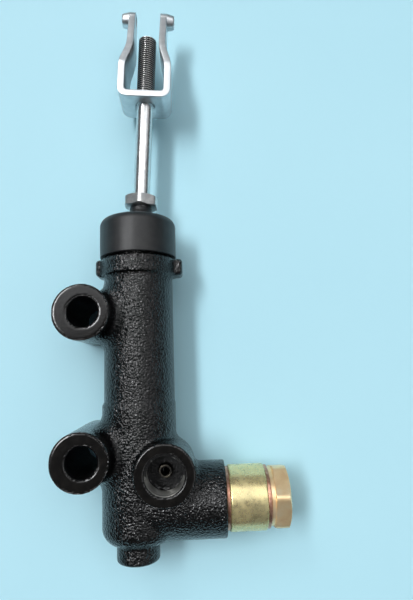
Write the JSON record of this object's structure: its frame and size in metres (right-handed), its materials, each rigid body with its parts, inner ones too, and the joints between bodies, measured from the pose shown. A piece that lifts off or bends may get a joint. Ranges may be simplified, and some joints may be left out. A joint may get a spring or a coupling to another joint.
{
  "type": "clutch master cylinder",
  "caption": "Clutch master cylinder: cast body with side mounting bosses, side union on a hollow bolt, outlet port, dust boot and leaning push rod with fork clevis.",
  "frame": {"origin": "midway between the axes of the two mounting holes, on the front faces of their bosses", "axes": "+Y along the bore from the stub towards the clevis, +Z out of the mounting faces, +X towards the union arm"},
  "size_m": [0.1098, 0.2948, 0.049],
  "materials": {
    "black_paint": "rough cast iron under thick gloss black paint",
    "rubber": "satin black moulded rubber",
    "seal_rubber": "smooth black seal rubber",
    "zinc_steel": "bright drawn steel with clear zinc plate",
    "zinc_strap": "pressed steel strap with bright zinc plate",
    "spring_steel": "oiled spring steel",
    "plain_steel": "turned steel",
    "piston_alloy": "turned aluminium",
    "seat_brass": "turned brass",
    "yellow_zinc": "turned steel with yellow zinc plate, greenish bloom at the edges",
    "bolt_zinc": "machined steel with pale yellow zinc plate",
    "copper": "soft copper, satin"
  },
  "bodies": {
    "cylinder": {"cylinder_body": "black_paint", "dust_boot": "rubber", "snap_ring": "spring_steel", "stop_washer": "plain_steel", "valve_spacer": "piston_alloy", "wave_washer": "spring_steel", "outlet_seat": "seat_brass", "union_sleeve": "yellow_zinc", "union_bolt": "bolt_zinc", "inner_sealing_washer": "copper", "outer_sealing_washer": "copper", "return_spring": "spring_steel"},
    "piston": {"piston": "piston_alloy", "primary_cup": "seal_rubber", "secondary_cup": "seal_rubber", "cup_washer": "plain_steel", "spring_retainer": "plain_steel"},
    "rod": {"push_rod": "zinc_steel"},
    "clevis": {"clevis": "zinc_strap"},
    "valve": {"valve_stem": "plain_steel", "valve_seal": "seal_rubber"}
  },
  "joints": [
    {"name": "piston_stroke", "type": "slide", "parent": "cylinder", "child": "piston", "axis": [0, -1, 0], "range_m": [0, 0.024], "stiffness_N_per_m": 3600, "springref_m": -0.017, "deforming": ["return_spring", "dust_boot"]},
    {"name": "rod_swing", "type": "hinge", "parent": "piston", "child": "rod", "pos_m": [0.0232, 0.05695, -0.0282], "axis": [1, 0, 0], "range_deg": [-3, 3]},
    {"name": "clevis_turn", "type": "hinge", "parent": "rod", "child": "clevis", "pos_m": [0.02792, 0.15346, -0.0282], "axis": [0.0489, 0.9988, 0], "range_deg": [-180, 180]},
    {"name": "supply_valve", "type": "slide", "parent": "cylinder", "child": "valve", "axis": [0, -1, 0], "range_m": [0, 0.0012]}
  ],
  "couplings": [
    {"joint": "supply_valve", "follows": "piston_stroke", "ratio": 0.05}
  ]
}
